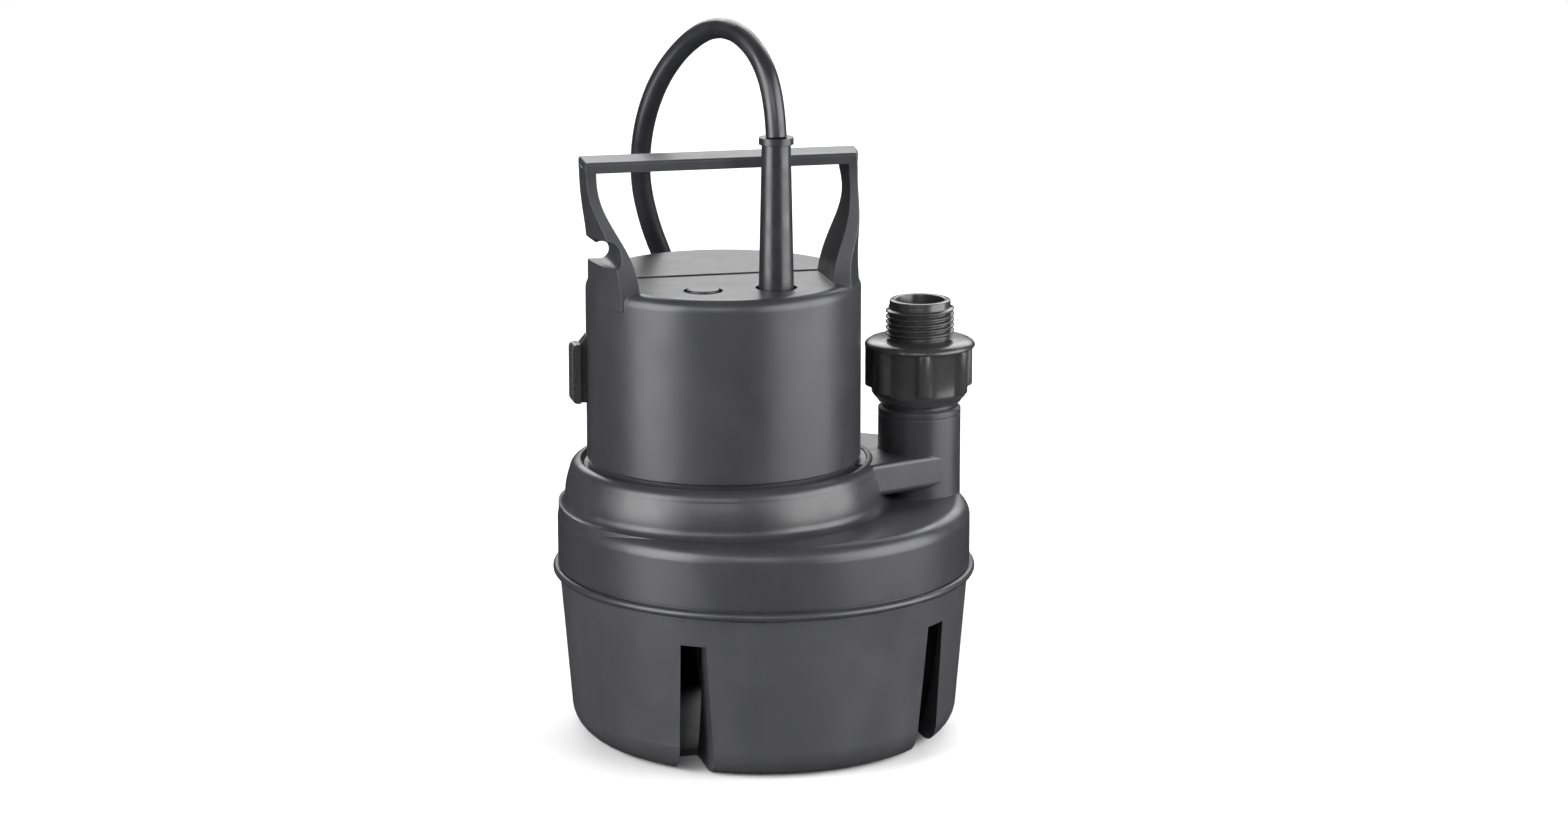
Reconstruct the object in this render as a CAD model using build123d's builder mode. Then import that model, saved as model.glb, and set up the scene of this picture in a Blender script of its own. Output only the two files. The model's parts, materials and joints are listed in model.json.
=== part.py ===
from build123d import *
import math
import os

# Submersible sump pump: clamshell housing over a sealed motor, with a strainer base,
# a side outlet with a garden-hose adapter, and a power cord.
# Millimetres, +Z up. Origin: centre of the strainer base on the floor.
# +X points to the outlet side, along the housing's seam plane (y = 0); the front is -Y.

os.makedirs("parts", exist_ok=True)

# ---- driving dimensions ---------------------------------------------------------------
MOTOR_X = -16.0                # motor axis, offset from the base axis
HOUSING_R = 53.5               # motor sleeve of the housing
HOUSING_WALL = 3.0
TOP_Z = 183.0                  # top face of the housing
TOP_EDGE = 4.5                 # rounding of the top face's rim
SEAM_STEP = 0.5                # the rear shell's top face stands this much higher

RING_R = 62.3                  # volute ring round the foot of the sleeve
RING_CREST_R = 60.4
RING_TOP_Z = 110.6
RING_CAVITY_R = 59.0
RING_CAVITY_TOP = 107.0

SKIRT_R = 81.0                 # lower wall of the housing
SKIRT_INNER_R = 78.0
SHOULDER_Z = 92.8
SHOULDER_EDGE = 6.0
SHELL_BOTTOM = 65.0
BEAD_R = 83.0
BEAD_H = 3.2
BEAD_GROOVE = 0.7              # depth and height of the groove above the bead

PIPE_X = 63.0                  # outlet stub
PIPE_R = 16.3
PIPE_TOP = 127.5
PIPE_BORE = 12.5
NECK_R = 15.2                  # threaded neck above the stub
NECK_TOP = 148.0
DUCT_BOTTOM = 97.0
DUCT_TOP = 110.0

BASE_TOP = 64.5                # strainer base
BASE_TOP_R = 80.3
BASE_LOW_R = 76.0
BASE_CORNER = 13.0             # rounding of the foot
BASE_WALL = 3.0
SLOT_DEGREES = (-122.0, -47.0, 24.0, 95.0, 167.0)
SLOT_TOP = 53.6
SLOT_W_TOP = 10.4              # along the wall
SLOT_W_LOW = 14.6
SLOT_DEPTH = 34.0
JAMB = 2.4                     # thickness of the webs beside a slot

BAR_BOTTOM = 227.6             # handle bar
BAR_TOP = 231.8
BAR_DEPTH = 18.0

ENTRY_Y = -29.4                # cord entry and blanked second entry in the top face
ENTRY_DX = 14.3
ENTRY_R = 8.0
BLANK_R = 7.5

THREAD_PITCH = 2.209           # garden-hose and pipe thread pitch, 11.5 per inch
HOSE_THREAD_R = 13.495
HOSE_ROOT_R = 12.1
HOSE_BORE_R = 9.45
NUT_R = 21.7

SHAFT_R = 4.0
RUNNING = 0.05                 # radial running clearance of the shaft in its bearings
AIR_GAP = 0.5                  # rotor to stator
IMPELLER_R = 37.0
CAN_R = 42.8                   # sealed motor can
CAN_WALL = 1.5
CAN_FLOOR = 110.0
CAN_TOP = 176.0

CORD_R = 4.0                   # power cord
EXIT_Z = 241.0                 # top of the strain relief
COIL_X, COIL_Y = 52.0, 150.0   # put-away coil, on the floor behind the pump
COIL_RADII = (36.0, 44.0, 52.0)
COIL_LOW = 0.8
TIE_THICK = 0.8

MOTOR = Plane((MOTOR_X, 0, 0))
MOTOR_AXIS = Axis((MOTOR_X, 0, 0), (0, 0, 1))
PIPE_AXIS = Axis((PIPE_X, 0, 0), (0, 0, 1))
ENTRY = (MOTOR_X + ENTRY_DX, ENTRY_Y)
BLANK = (MOTOR_X - ENTRY_DX, ENTRY_Y)


def save(builder, name):
    """Label one finished piece and write it."""
    builder.part.label = name
    export_step(builder.part, f"parts/{name}.step")


def polar(radius, degrees):
    """A point round the motor axis, in the motor plane's own coordinates."""
    angle = math.radians(degrees)
    return (radius * math.cos(angle), radius * math.sin(angle))


def tube(inner_r, outer_r, low, high, centre=(MOTOR_X, 0)):
    """A plain ring or, with no inner radius, a disc, standing on the plane z = low."""
    with BuildPart() as ring:
        with BuildSketch(Plane((centre[0], centre[1], low))):
            Circle(outer_r)
            if inner_r:
                Circle(inner_r, mode=Mode.SUBTRACT)
        extrude(amount=high - low)
    return ring.part


# ---- housing: one closed envelope, cut into a front and a rear shell -------------------
def duct_outline():
    """Footprint of the outlet duct: tangent to the ring behind, a flat face in front."""
    rear = math.asin((RING_CREST_R - PIPE_R) / (PIPE_X - MOTOR_X))
    rear_ring = (MOTOR_X + RING_CREST_R * math.sin(rear), RING_CREST_R * math.cos(rear))
    rear_pipe = (PIPE_X + PIPE_R * math.sin(rear), PIPE_R * math.cos(rear))
    front = math.radians(20)
    front_pipe = (PIPE_X + PIPE_R * math.sin(front), -PIPE_R * math.cos(front))
    reach = 33.0
    front_ring = (front_pipe[0] - reach * math.cos(front), front_pipe[1] - reach * math.sin(front))
    with BuildSketch(Plane.XY) as outline:
        with BuildLine():
            Polyline(rear_ring, rear_pipe, (PIPE_X, 0), front_pipe, front_ring, (MOTOR_X, 0),
                     close=True)
        make_face()
        with Locations((PIPE_X, 0)):
            Circle(PIPE_R)
    return outline.sketch


def skirt_profile():
    """Half section of the lower wall, bead and shoulder, outside."""
    wall_r = SKIRT_R
    half = BEAD_H / 2
    bead_top = SHELL_BOTTOM + BEAD_H
    edge = SHOULDER_EDGE
    corner = edge * (1 - math.sin(math.radians(45)))
    with BuildSketch(Plane.XZ) as profile:
        with BuildLine():
            Polyline((0, SHELL_BOTTOM - 0.5), (80, SHELL_BOTTOM - 0.5), (80, SHELL_BOTTOM),
                     (BEAD_R - half, SHELL_BOTTOM))
            ThreePointArc((BEAD_R - half, SHELL_BOTTOM), (BEAD_R, SHELL_BOTTOM + half),
                          (BEAD_R - half, bead_top))
            Polyline((BEAD_R - half, bead_top), (wall_r - BEAD_GROOVE, bead_top),
                     (wall_r - BEAD_GROOVE, bead_top + BEAD_GROOVE),
                     (wall_r, bead_top + BEAD_GROOVE), (wall_r, SHOULDER_Z - edge))
            ThreePointArc((wall_r, SHOULDER_Z - edge), (wall_r - corner, SHOULDER_Z - corner),
                          (wall_r - edge, SHOULDER_Z))
            Polyline((wall_r - edge, SHOULDER_Z), (0, SHOULDER_Z), (0, SHELL_BOTTOM - 0.5))
        make_face()
    return profile.sketch


def ring_profile():
    """Half section of the volute ring and the sleeve above it, round the motor axis."""
    cove = 3.4
    low = SHOULDER_Z - SHOULDER_EDGE
    groove_r = HOUSING_R - 1.5
    with BuildSketch(Plane((MOTOR_X, 0, 0), x_dir=(1, 0, 0), z_dir=(0, -1, 0))) as profile:
        with BuildLine():
            Polyline((0, low), (RING_R + cove, low), (RING_R + cove, SHOULDER_Z))
            ThreePointArc((RING_R + cove, SHOULDER_Z),
                          (RING_R + 0.293 * cove, SHOULDER_Z + 0.293 * cove),
                          (RING_R, SHOULDER_Z + cove))
            ThreePointArc((RING_R, SHOULDER_Z + cove), (RING_R - 0.4, 101),
                          (RING_CREST_R, RING_TOP_Z - 4.2))
            ThreePointArc((RING_CREST_R, RING_TOP_Z - 4.2), (58.9, RING_TOP_Z - 1.1),
                          (56.2, RING_TOP_Z))
            Polyline((56.2, RING_TOP_Z), (54.6, RING_TOP_Z - 2.0), (groove_r, RING_TOP_Z - 2.0),
                     (groove_r, RING_TOP_Z + 0.8), (HOUSING_R, RING_TOP_Z + 1.4),
                     (HOUSING_R, TOP_Z - TOP_EDGE))
            ThreePointArc((HOUSING_R, TOP_Z - TOP_EDGE),
                          (HOUSING_R - 0.293 * TOP_EDGE, TOP_Z - 0.293 * TOP_EDGE),
                          (HOUSING_R - TOP_EDGE, TOP_Z))
            Polyline((HOUSING_R - TOP_EDGE, TOP_Z), (0, TOP_Z), (0, low))
        make_face()
    return profile.sketch


with BuildPart() as envelope:
    add(ring_profile())
    revolve(axis=MOTOR_AXIS)
    add(tube(0, SKIRT_R - 0.4, SHOULDER_Z - SHOULDER_EDGE, TOP_Z + 1, centre=(0, 0)),
        mode=Mode.INTERSECT)
    add(skirt_profile())
    revolve(axis=Axis.Z)

with BuildPart() as duct:
    add(duct_outline())
    extrude(amount=DUCT_TOP)
    with BuildSketch(Plane.XY):
        Rectangle(400, 400)
    extrude(amount=DUCT_BOTTOM, mode=Mode.SUBTRACT)
    fillet(duct.faces().sort_by(Axis.Z)[0].edges().filter_by(GeomType.LINE), 2.4)
    fillet(duct.faces().sort_by(Axis.Z)[-1].edges().filter_by(GeomType.LINE), 1.6)

with BuildPart() as cavity:
    add(tube(0, SKIRT_INNER_R, SHELL_BOTTOM - 1, SHOULDER_Z - HOUSING_WALL, centre=(0, 0)))
    add(tube(0, RING_CAVITY_R, SHOULDER_Z - 4, RING_CAVITY_TOP))
    add(tube(0, 60.2, 91.9, 95.1))
    add(tube(0, HOUSING_R - HOUSING_WALL, SHOULDER_Z, TOP_Z - HOUSING_WALL))
    with BuildSketch(Plane.XY.offset(DUCT_BOTTOM + 2.3)):
        add(duct_outline())
        offset(amount=-2.3, mode=Mode.REPLACE)
    extrude(amount=DUCT_TOP - DUCT_BOTTOM - 4.6)

# Screw bosses stand along Y: two pairs beside the motor can, one pair in the skirt.
BOSS_R = 3.5
SLEEVE_BOSSES = [(MOTOR_X + side * 46.9, z) for side in (-1, 1) for z in (122.0, 170.0)]
SKIRT_BOSSES = [(side * 70.5, 76.5) for side in (-1, 1)]
BOSSES = SLEEVE_BOSSES + SKIRT_BOSSES
SCREW_R = 1.5
HEAD_R = 3.0
HEAD_SEAT_Y = 8.0
BOSS_FRONT_Y = -13.0


def boss_rods(radius, low_y, high_y):
    """One rod per housing screw, between two distances from the seam plane."""
    with BuildPart() as rods:
        for x, z in BOSSES:
            with BuildSketch(Plane((x, low_y, z), x_dir=(1, 0, 0), z_dir=(0, 1, 0))):
                Circle(radius)
            extrude(amount=high_y - low_y)
    return rods.part


with BuildPart() as pipe_rod:
    add(tube(0, PIPE_R, SHOULDER_Z - 1, PIPE_TOP, centre=(PIPE_X, 0)))
    chamfer(pipe_rod.faces().sort_by(Axis.Z)[-1].edges(), 1.0)
    add(tube(PIPE_R - 0.35, PIPE_R + 1, PIPE_TOP - 3.4, PIPE_TOP - 2.9, centre=(PIPE_X, 0)),
        mode=Mode.SUBTRACT)

with BuildPart() as neck:
    with BuildSketch(Plane((PIPE_X, 0, 0), x_dir=(1, 0, 0), z_dir=(0, -1, 0))):
        with BuildLine():
            low = PIPE_TOP - 1
            root = NECK_R - 0.9
            points = [(0, low), (root, low), (root, PIPE_TOP + 1.2)]
            for turn in range(8):
                z = PIPE_TOP + 1.2 + turn * THREAD_PITCH
                points += [(NECK_R, z + 0.9), (NECK_R, z + 1.2), (root, z + THREAD_PITCH)]
            points += [(root, NECK_TOP), (0, NECK_TOP)]
            Polyline(*points, close=True)
        make_face()
    revolve(axis=PIPE_AXIS)

with BuildPart() as pipe_bore:
    add(tube(0, PIPE_BORE, DUCT_BOTTOM + 2.3, NECK_TOP + 1, centre=(PIPE_X, 0)))
    add(tube(0, PIPE_R - 3, SHOULDER_Z - 4, DUCT_BOTTOM, centre=(PIPE_X, 0)))


# Handle: each leg rises from the sleeve as a tapering section and meets the flat bar.
# A section is (z, seam outer x, front outer x, front inner x, seam inner x, front y).
LEFT_LEG = [
    (176.0, -69.4, -62.0, -54.6, -53.4, -29.2),
    (184.0, -69.4, -62.2, -54.8, -53.6, -29.0),
    (192.0, -69.4, -63.4, -56.4, -54.8, -27.7),
    (203.0, -70.1, -66.4, -61.3, -59.9, -23.5),
    (214.0, -71.6, -70.8, -66.8, -65.6, -19.6),
    (222.0, -72.3, -72.6, -68.7, -67.6, -18.2),
    (229.0, -72.6, -73.0, -69.0, -68.2, -18.0),
]
RIGHT_LEG = [
    (176.0, 37.4, 27.6, 21.0, 21.4, -29.2),
    (184.0, 37.4, 27.8, 21.2, 21.6, -29.0),
    (192.0, 37.4, 28.4, 22.4, 23.5, -27.7),
    (203.0, 37.2, 31.9, 26.9, 27.9, -23.5),
    (214.0, 36.8, 33.1, 29.7, 31.1, -19.6),
    (222.0, 36.5, 33.0, 29.9, 30.4, -18.2),
    (229.0, 36.3, 32.8, 29.4, 29.6, -18.0),
]


def leg(sections, side):
    """A lofted handle leg; side is -1 for the left leg and 1 for the right."""
    with BuildPart() as body:
        for z, outer, front_outer, front_inner, inner, front_y in sections:
            bulge = 1.9 * max(0.25, 1 - (z - 176) / 45)
            middle = ((outer + front_outer) / 2 + side * bulge, front_y / 2 - 0.2 * bulge)
            with BuildSketch(Plane.XY.offset(z)):
                with BuildLine():
                    ThreePointArc((outer, 0), middle, (front_outer, front_y))
                    Line((front_outer, front_y), (front_inner, front_y))
                    Line((front_inner, front_y), (inner, 0))
                    Line((inner, 0), (outer, 0))
                make_face()
        loft()
    return body.part


NOTCH = (-64.8, 195.3)          # cord notch in the left leg: a hole through a thin web
NOTCH_R = 3.7
NOTCH_WEB = 4.0
BOWL = (-66.2, 197.2)           # wider bowl in front of the web
BOWL_R = 5.0
NOTCH_MOUTH = [(-64.8, 191.6), (-69.0, 191.7), (-69.6, 190.7), (-76, 190.7), (-76, 205.0),
               (-69.9, 200.8), (-66.8, 198.5), (-64.8, 198.6)]

with BuildPart() as handle:
    add(leg(LEFT_LEG, -1))
    add(leg(RIGHT_LEG, 1))
    with BuildSketch(Plane.XY.offset(BAR_BOTTOM)):
        with BuildLine():
            Polyline((36.2, 0), (-72.6, 0), (-73.2, -BAR_DEPTH), (32.8, -BAR_DEPTH))
            ThreePointArc((32.8, -BAR_DEPTH), (35.3, -BAR_DEPTH / 2), (36.2, 0))
        make_face()
    extrude(amount=BAR_TOP - BAR_BOTTOM)
    fillet(handle.faces().sort_by(Axis.Z)[-1].edges(), 1.2)
    with BuildSketch(Plane((0, 1, 0), x_dir=(1, 0, 0), z_dir=(0, -1, 0))):
        with Locations(NOTCH):
            Circle(NOTCH_R)
        Polygon(*NOTCH_MOUTH, align=None)
    extrude(amount=40, mode=Mode.SUBTRACT)
    with BuildSketch(Plane((0, -NOTCH_WEB, 0), x_dir=(1, 0, 0), z_dir=(0, -1, 0))):
        with Locations(BOWL):
            Circle(BOWL_R)
    extrude(amount=30, mode=Mode.SUBTRACT)

with BuildPart() as half_space:
    with BuildSketch(Plane((0, 0, 0), x_dir=(1, 0, 0), z_dir=(0, -1, 0))):
        with Locations((0, 130)):
            Rectangle(300, 300)
    extrude(amount=150)

with BuildPart() as front_shell:
    add(envelope.part)
    add(duct.part)
    add(half_space.part, mode=Mode.INTERSECT)
    add(pipe_rod.part)
    add(neck.part)
    add(cavity.part, mode=Mode.SUBTRACT)
    add(pipe_bore.part, mode=Mode.SUBTRACT)
    add(boss_rods(BOSS_R, BOSS_FRONT_Y, 0))
    for x, z in SKIRT_BOSSES:
        with BuildSketch(Plane((x, -32, z), x_dir=(1, 0, 0), z_dir=(0, 1, 0))):
            Circle(BOSS_R)
        extrude(amount=22)
    add(handle.part)
    add(boss_rods(SCREW_R, BOSS_FRONT_Y + 2, 1), mode=Mode.SUBTRACT)
    add(tube(0, ENTRY_R, TOP_Z - 6, TOP_Z + 1, centre=ENTRY), mode=Mode.SUBTRACT)
    add(tube(0, BLANK_R, TOP_Z - 6, TOP_Z + 1, centre=BLANK), mode=Mode.SUBTRACT)
    with Locations((-4, -BEAD_R, SHELL_BOTTOM)):
        Box(28, 4.4, 2.4, mode=Mode.SUBTRACT)

with BuildPart() as rear_shell:
    add(envelope.part)
    add(tube(0, HOUSING_R - TOP_EDGE, TOP_Z - 1, TOP_Z + SEAM_STEP))
    add(duct.part)
    add(cavity.part, mode=Mode.SUBTRACT)
    add(half_space.part, mode=Mode.SUBTRACT)
    add(tube(0, PIPE_R + 0.1, SHOULDER_Z - 4, PIPE_TOP, centre=(PIPE_X, 0)), mode=Mode.SUBTRACT)
    for x, z in SLEEVE_BOSSES:
        with BuildSketch(Plane((x, 0, z), x_dir=(1, 0, 0), z_dir=(0, 1, 0))):
            Circle(BOSS_R)
        extrude(amount=22)
    for x, z in SKIRT_BOSSES:
        with BuildSketch(Plane((x, 0, z), x_dir=(1, 0, 0), z_dir=(0, 1, 0))):
            Circle(5.0)
        extrude(amount=35)
    add(boss_rods(HEAD_R + 0.2, HEAD_SEAT_Y, 60), mode=Mode.SUBTRACT)
    add(boss_rods(SCREW_R + 0.2, -1, HEAD_SEAT_Y + 1), mode=Mode.SUBTRACT)

with BuildPart() as shell_screws:
    add(boss_rods(SCREW_R, BOSS_FRONT_Y + 3, HEAD_SEAT_Y))
    add(boss_rods(HEAD_R, HEAD_SEAT_Y, HEAD_SEAT_Y + 2.4))
    for x, z in BOSSES:
        with Locations((x, HEAD_SEAT_Y + 2.0, z)):
            Box(3.6, 1.6, 0.8, mode=Mode.SUBTRACT)
            Box(0.8, 1.6, 3.6, mode=Mode.SUBTRACT)

save(front_shell, "front_shell")
save(rear_shell, "rear_shell")
save(shell_screws, "shell_screws")

with BuildPart() as float_clip:
    sleeve_x = MOTOR_X - HOUSING_R
    with BuildSketch(Plane((sleeve_x - 4.4, 9, 145.9), x_dir=(1, 0, 0), z_dir=(0, -1, 0))) as cap:
        Rectangle(3.4, 23.4)
        fillet(cap.vertices().sort_by(Axis.X)[:2], 2.0)
    extrude(amount=8)
    with BuildSketch(Plane((sleeve_x, 7, 0), x_dir=(1, 0, 0), z_dir=(0, -1, 0))):
        Polygon((3, 134.2), (-2.9, 134.2), (-2.9, 157.4), (0, 161), (3, 161), align=None)
    extrude(amount=4)
    add(tube(0, HOUSING_R, 120, 170), mode=Mode.SUBTRACT)
save(float_clip, "float_clip")

with BuildPart() as blanking_plug:
    add(tube(0, BLANK_R - 1.3, TOP_Z - 4, TOP_Z + 0.8, centre=BLANK))
    fillet(blanking_plug.edges().sort_by(Axis.Z)[-1], 0.6)
    add(tube(0, 9.5, TOP_Z - 4.6, TOP_Z - HOUSING_WALL, centre=BLANK))
save(blanking_plug, "blanking_plug")


# ---- strainer base ---------------------------------------------------------------------
def base_form(inset, top_r, top_z):
    """The filled form of the base with its rounded foot, set in by a distance."""
    foot_r = BASE_LOW_R - BASE_CORNER
    corner = BASE_CORNER - inset
    bend = corner * math.sin(math.radians(45))
    with BuildPart() as form:
        with BuildSketch(Plane.XZ):
            with BuildLine():
                Line((0, inset), (foot_r, inset))
                ThreePointArc((foot_r, inset), (foot_r + bend, BASE_CORNER - bend),
                              (foot_r + corner, BASE_CORNER))
                Polyline((foot_r + corner, BASE_CORNER), (top_r, top_z), (0, top_z), (0, inset))
            make_face()
        revolve(axis=Axis.Z)
    return form.part


def slot_draw(degrees):
    """The square direction, front, rear or side, that a slot is cut along, and its skew to it."""
    draw = 90 * round(degrees / 90)
    return draw, math.radians(degrees - draw)


def slot_cut(degrees, grow):
    """A tapering slot, wider at the floor, cut outwards through the wall."""
    draw, skew = slot_draw(degrees)
    outward = Vector(1, 0, 0).rotate(Axis.Z, draw)
    across = Vector(0, 1, 0).rotate(Axis.Z, draw)
    low = SLOT_W_LOW / 2 * math.cos(skew) + grow
    high = SLOT_W_TOP / 2 * math.cos(skew) + grow
    low_x, high_x = BASE_LOW_R * math.sin(skew), BASE_TOP_R * math.sin(skew)
    inner = BASE_TOP_R * math.cos(skew) - SLOT_DEPTH
    with BuildPart() as cut:
        with BuildSketch(Plane(outward * inner, x_dir=across, z_dir=outward)):
            Polygon((low_x - low, -1), (low_x + low, -1), (high_x + high, SLOT_TOP + grow),
                    (high_x - high, SLOT_TOP + grow), align=None)
        extrude(amount=SLOT_DEPTH + 20)
    return cut.part


def slot_jambs(degrees):
    """A block round a slot, deeper towards the floor; the slot leaves a web on each side."""
    draw, skew = slot_draw(degrees)
    outward = Vector(1, 0, 0).rotate(Axis.Z, draw)
    wall = BASE_TOP_R * math.cos(skew)
    top = SLOT_TOP + JAMB
    with BuildPart() as block:
        with BuildSketch(Plane((0, 0, 0), x_dir=outward, z_dir=outward.cross(Vector(0, 0, 1)))):
            with BuildLine():
                ThreePointArc((wall - 8, top), (wall - 16, 32), (wall - SLOT_DEPTH, 2))
                Polyline((wall - SLOT_DEPTH, 2), (wall + 20, 2), (wall + 20, top), (wall - 8, top))
            make_face()
        extrude(amount=BASE_TOP_R, both=True)
        add(slot_cut(degrees, JAMB), mode=Mode.INTERSECT)
        add(base_form(1, BASE_TOP_R - 1, BASE_TOP - 1), mode=Mode.INTERSECT)
    return block.part


with BuildPart() as strainer_base:
    add(base_form(0, BASE_TOP_R, BASE_TOP))
    add(base_form(BASE_WALL, BASE_TOP_R - BASE_WALL - 1.8, BASE_TOP + 1), mode=Mode.SUBTRACT)
    add(tube(75.3, SKIRT_INNER_R - 0.3, BASE_TOP - 3, BASE_TOP + 5.5, centre=(0, 0)))
    for degrees in SLOT_DEGREES:
        add(slot_jambs(degrees))
    for degrees in SLOT_DEGREES:
        add(slot_cut(degrees, 0), mode=Mode.SUBTRACT)
save(strainer_base, "strainer_base")

# ---- wet end ---------------------------------------------------------------------------
CASING_R = 58.6
CHAMBER_FLOOR = 91.0
CHAMBER_TOP = 103.5
REGISTER_R = 50.0
EYE_R = 15.0
COVER_SCREW_R = 56.0


def spiral(start_r, growth, start_deg):
    """A spiral outline of four arcs round the motor axis, closed by its tongue."""
    ends = [polar(start_r + growth * half / 8, start_deg + 45 * half) for half in range(9)]
    with BuildSketch(Plane((MOTOR_X, 0, CHAMBER_FLOOR))) as face:
        with BuildLine():
            for first in range(0, 8, 2):
                ThreePointArc(ends[first], ends[first + 1], ends[first + 2])
            Line(ends[8], ends[0])
        make_face()
    return face.sketch


with BuildPart() as volute_casing:
    add(tube(0, CASING_R, 87, RING_CAVITY_TOP))
    add(tube(0, 60, 92, 95))
    with BuildSketch(Plane.XY.offset(99.5)):
        with Locations((44, -5.5)):
            Rectangle(16, 23)
    extrude(amount=7.3)
    add(tube(0, REGISTER_R + 0.1, 86, CHAMBER_FLOOR), mode=Mode.SUBTRACT)
    add(spiral(40, 12, -25))
    extrude(amount=CHAMBER_TOP - CHAMBER_FLOOR, mode=Mode.SUBTRACT)
    with BuildSketch(Plane.XY.offset(100.8)):
        with Locations((40, -5.5)):
            Rectangle(30, 20)
    extrude(amount=4.7, mode=Mode.SUBTRACT)
    add(tube(0, EYE_R, 100, 110), mode=Mode.SUBTRACT)
    with Locations(MOTOR):
        with PolarLocations(COVER_SCREW_R, 4, start_angle=45):
            with Locations((0, 0, 91)):
                Cylinder(1.6, 12, mode=Mode.SUBTRACT)
        with PolarLocations(46.3, 4, start_angle=45):
            with Locations((0, 0, 105)):
                Cylinder(1.6, 6, mode=Mode.SUBTRACT)
save(volute_casing, "volute_casing")

with BuildPart() as suction_cover:
    add(tube(0, 61.4, 84, 87))
    add(tube(0, REGISTER_R, 87, CHAMBER_FLOOR))
    add(tube(0, 20, 74, 86))
    add(tube(0, EYE_R, 70, 95), mode=Mode.SUBTRACT)
    add(tube(REGISTER_R - 1.5, REGISTER_R + 1, 88, 90.2), mode=Mode.SUBTRACT)
    with Locations(MOTOR):
        with PolarLocations(COVER_SCREW_R, 4, start_angle=45):
            with Locations((0, 0, 85)):
                Cylinder(2.0, 8, mode=Mode.SUBTRACT)
save(suction_cover, "suction_cover")

with BuildPart() as cover_screws:
    with Locations(MOTOR):
        with PolarLocations(COVER_SCREW_R, 4, start_angle=45):
            with Locations((0, 0, 82.8)):
                Cylinder(3.4, 2.4)
            with Locations((0, 0, 89.5)):
                Cylinder(1.6, 11)
            with Locations((0, 0, 81.8)):
                Box(4, 0.9, 1.2, mode=Mode.SUBTRACT)
save(cover_screws, "cover_screws")


def o_ring(name, radius, section_r, z):
    """A rubber ring of round section in its groove."""
    with BuildPart() as ring:
        with BuildSketch(Plane((MOTOR_X, 0, 0), x_dir=(1, 0, 0), z_dir=(0, -1, 0))):
            with Locations((radius, z)):
                Circle(section_r)
        revolve(axis=MOTOR_AXIS)
    save(ring, name)


o_ring("cover_o_ring", 49.3, 0.8, 89.1)
o_ring("can_o_ring", 40.45, 0.75, 111.7)

with BuildPart() as impeller:
    add(tube(SHAFT_R, 8, 92, 100))
    add(tube(SHAFT_R, IMPELLER_R, 100, 102.4))
    vane = Edge.make_three_point_arc(polar(10.5, 0), polar(25, 24), polar(35.4, 62))
    with BuildSketch(MOTOR.offset(92.5)):
        with PolarLocations(0, 6):
            SlotArc(arc=vane, height=2.4)
    extrude(amount=8)
    add(tube(0, SHAFT_R, 90, 104), mode=Mode.SUBTRACT)
save(impeller, "impeller")

with BuildPart() as impeller_nut:
    with BuildSketch(MOTOR.offset(88.2)):
        RegularPolygon(7.2, 6)
        Circle(SHAFT_R, mode=Mode.SUBTRACT)
    extrude(amount=3.8)
save(impeller_nut, "impeller_nut")

# ---- shaft seal ------------------------------------------------------------------------
SEAT_Z = 107.0
with BuildPart() as seal_seat:
    add(tube(5.0, 10.8, SEAT_Z + 0.1, 110.4))
save(seal_seat, "seal_seat")

with BuildPart() as seat_cup:
    add(tube(10.8, 13.0, SEAT_Z, 110.4))
save(seat_cup, "seat_cup")

with BuildPart() as seal_head:
    add(tube(5.2, 9.6, 104.4, SEAT_Z))
save(seal_head, "seal_head")

with BuildPart() as seal_bellows:
    add(tube(SHAFT_R, 9.0, 102.4, 104.4))
    add(tube(SHAFT_R, 5.2, 104.4, 106.0))
save(seal_bellows, "seal_bellows")

with BuildPart() as seal_spring:
    for coil_z in (103.1, 104.7, 106.2):
        with BuildSketch(Plane((MOTOR_X, 0, 0), x_dir=(1, 0, 0), z_dir=(0, -1, 0))):
            with Locations((10.6, coil_z)):
                Circle(0.6)
        revolve(axis=MOTOR_AXIS)
save(seal_spring, "seal_spring")

# ---- motor -----------------------------------------------------------------------------
STACK_LOW, STACK_HIGH = 126.0, 152.0
ROTOR_R = 22.6
STATOR_BORE = ROTOR_R + AIR_GAP
CAN_INNER = CAN_R - CAN_WALL
BEARING_R = 8.0
SLOTS = 12

with BuildPart() as end_bell:
    add(tube(0, 50, 107, CAN_FLOOR))
    add(tube(0, CAN_INNER, CAN_FLOOR, 114))
    add(tube(0, 12, 112, 122))
    add(tube(0, 13, 106, 110.4), mode=Mode.SUBTRACT)
    add(tube(0, 5.5, 106, 124), mode=Mode.SUBTRACT)
    add(tube(0, BEARING_R, 112.4, 124), mode=Mode.SUBTRACT)
    add(tube(CAN_INNER - 1.6, CAN_INNER + 1, 110.9, 112.5), mode=Mode.SUBTRACT)
    with Locations(MOTOR):
        with PolarLocations(46.3, 4, start_angle=45):
            with Locations((0, 0, 108)):
                Cylinder(2.0, 8, mode=Mode.SUBTRACT)
save(end_bell, "end_bell")

with BuildPart() as end_bell_screws:
    with Locations(MOTOR):
        with PolarLocations(46.3, 4, start_angle=45):
            with Locations((0, 0, 111.1)):
                Cylinder(3.0, 2.2)
            with Locations((0, 0, 107)):
                Cylinder(1.6, 6)
            with Locations((0, 0, 112)):
                Box(4, 0.9, 1.2, mode=Mode.SUBTRACT)
save(end_bell_screws, "end_bell_screws")

with BuildPart() as motor_can:
    add(tube(0, CAN_R, CAN_FLOOR, CAN_TOP))
    add(tube(0, CAN_INNER, CAN_FLOOR - 1, CAN_TOP - CAN_WALL), mode=Mode.SUBTRACT)
    add(tube(0, 5.5, CAN_TOP - 3, CAN_TOP + 1, centre=ENTRY), mode=Mode.SUBTRACT)
save(motor_can, "motor_can")

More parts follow.
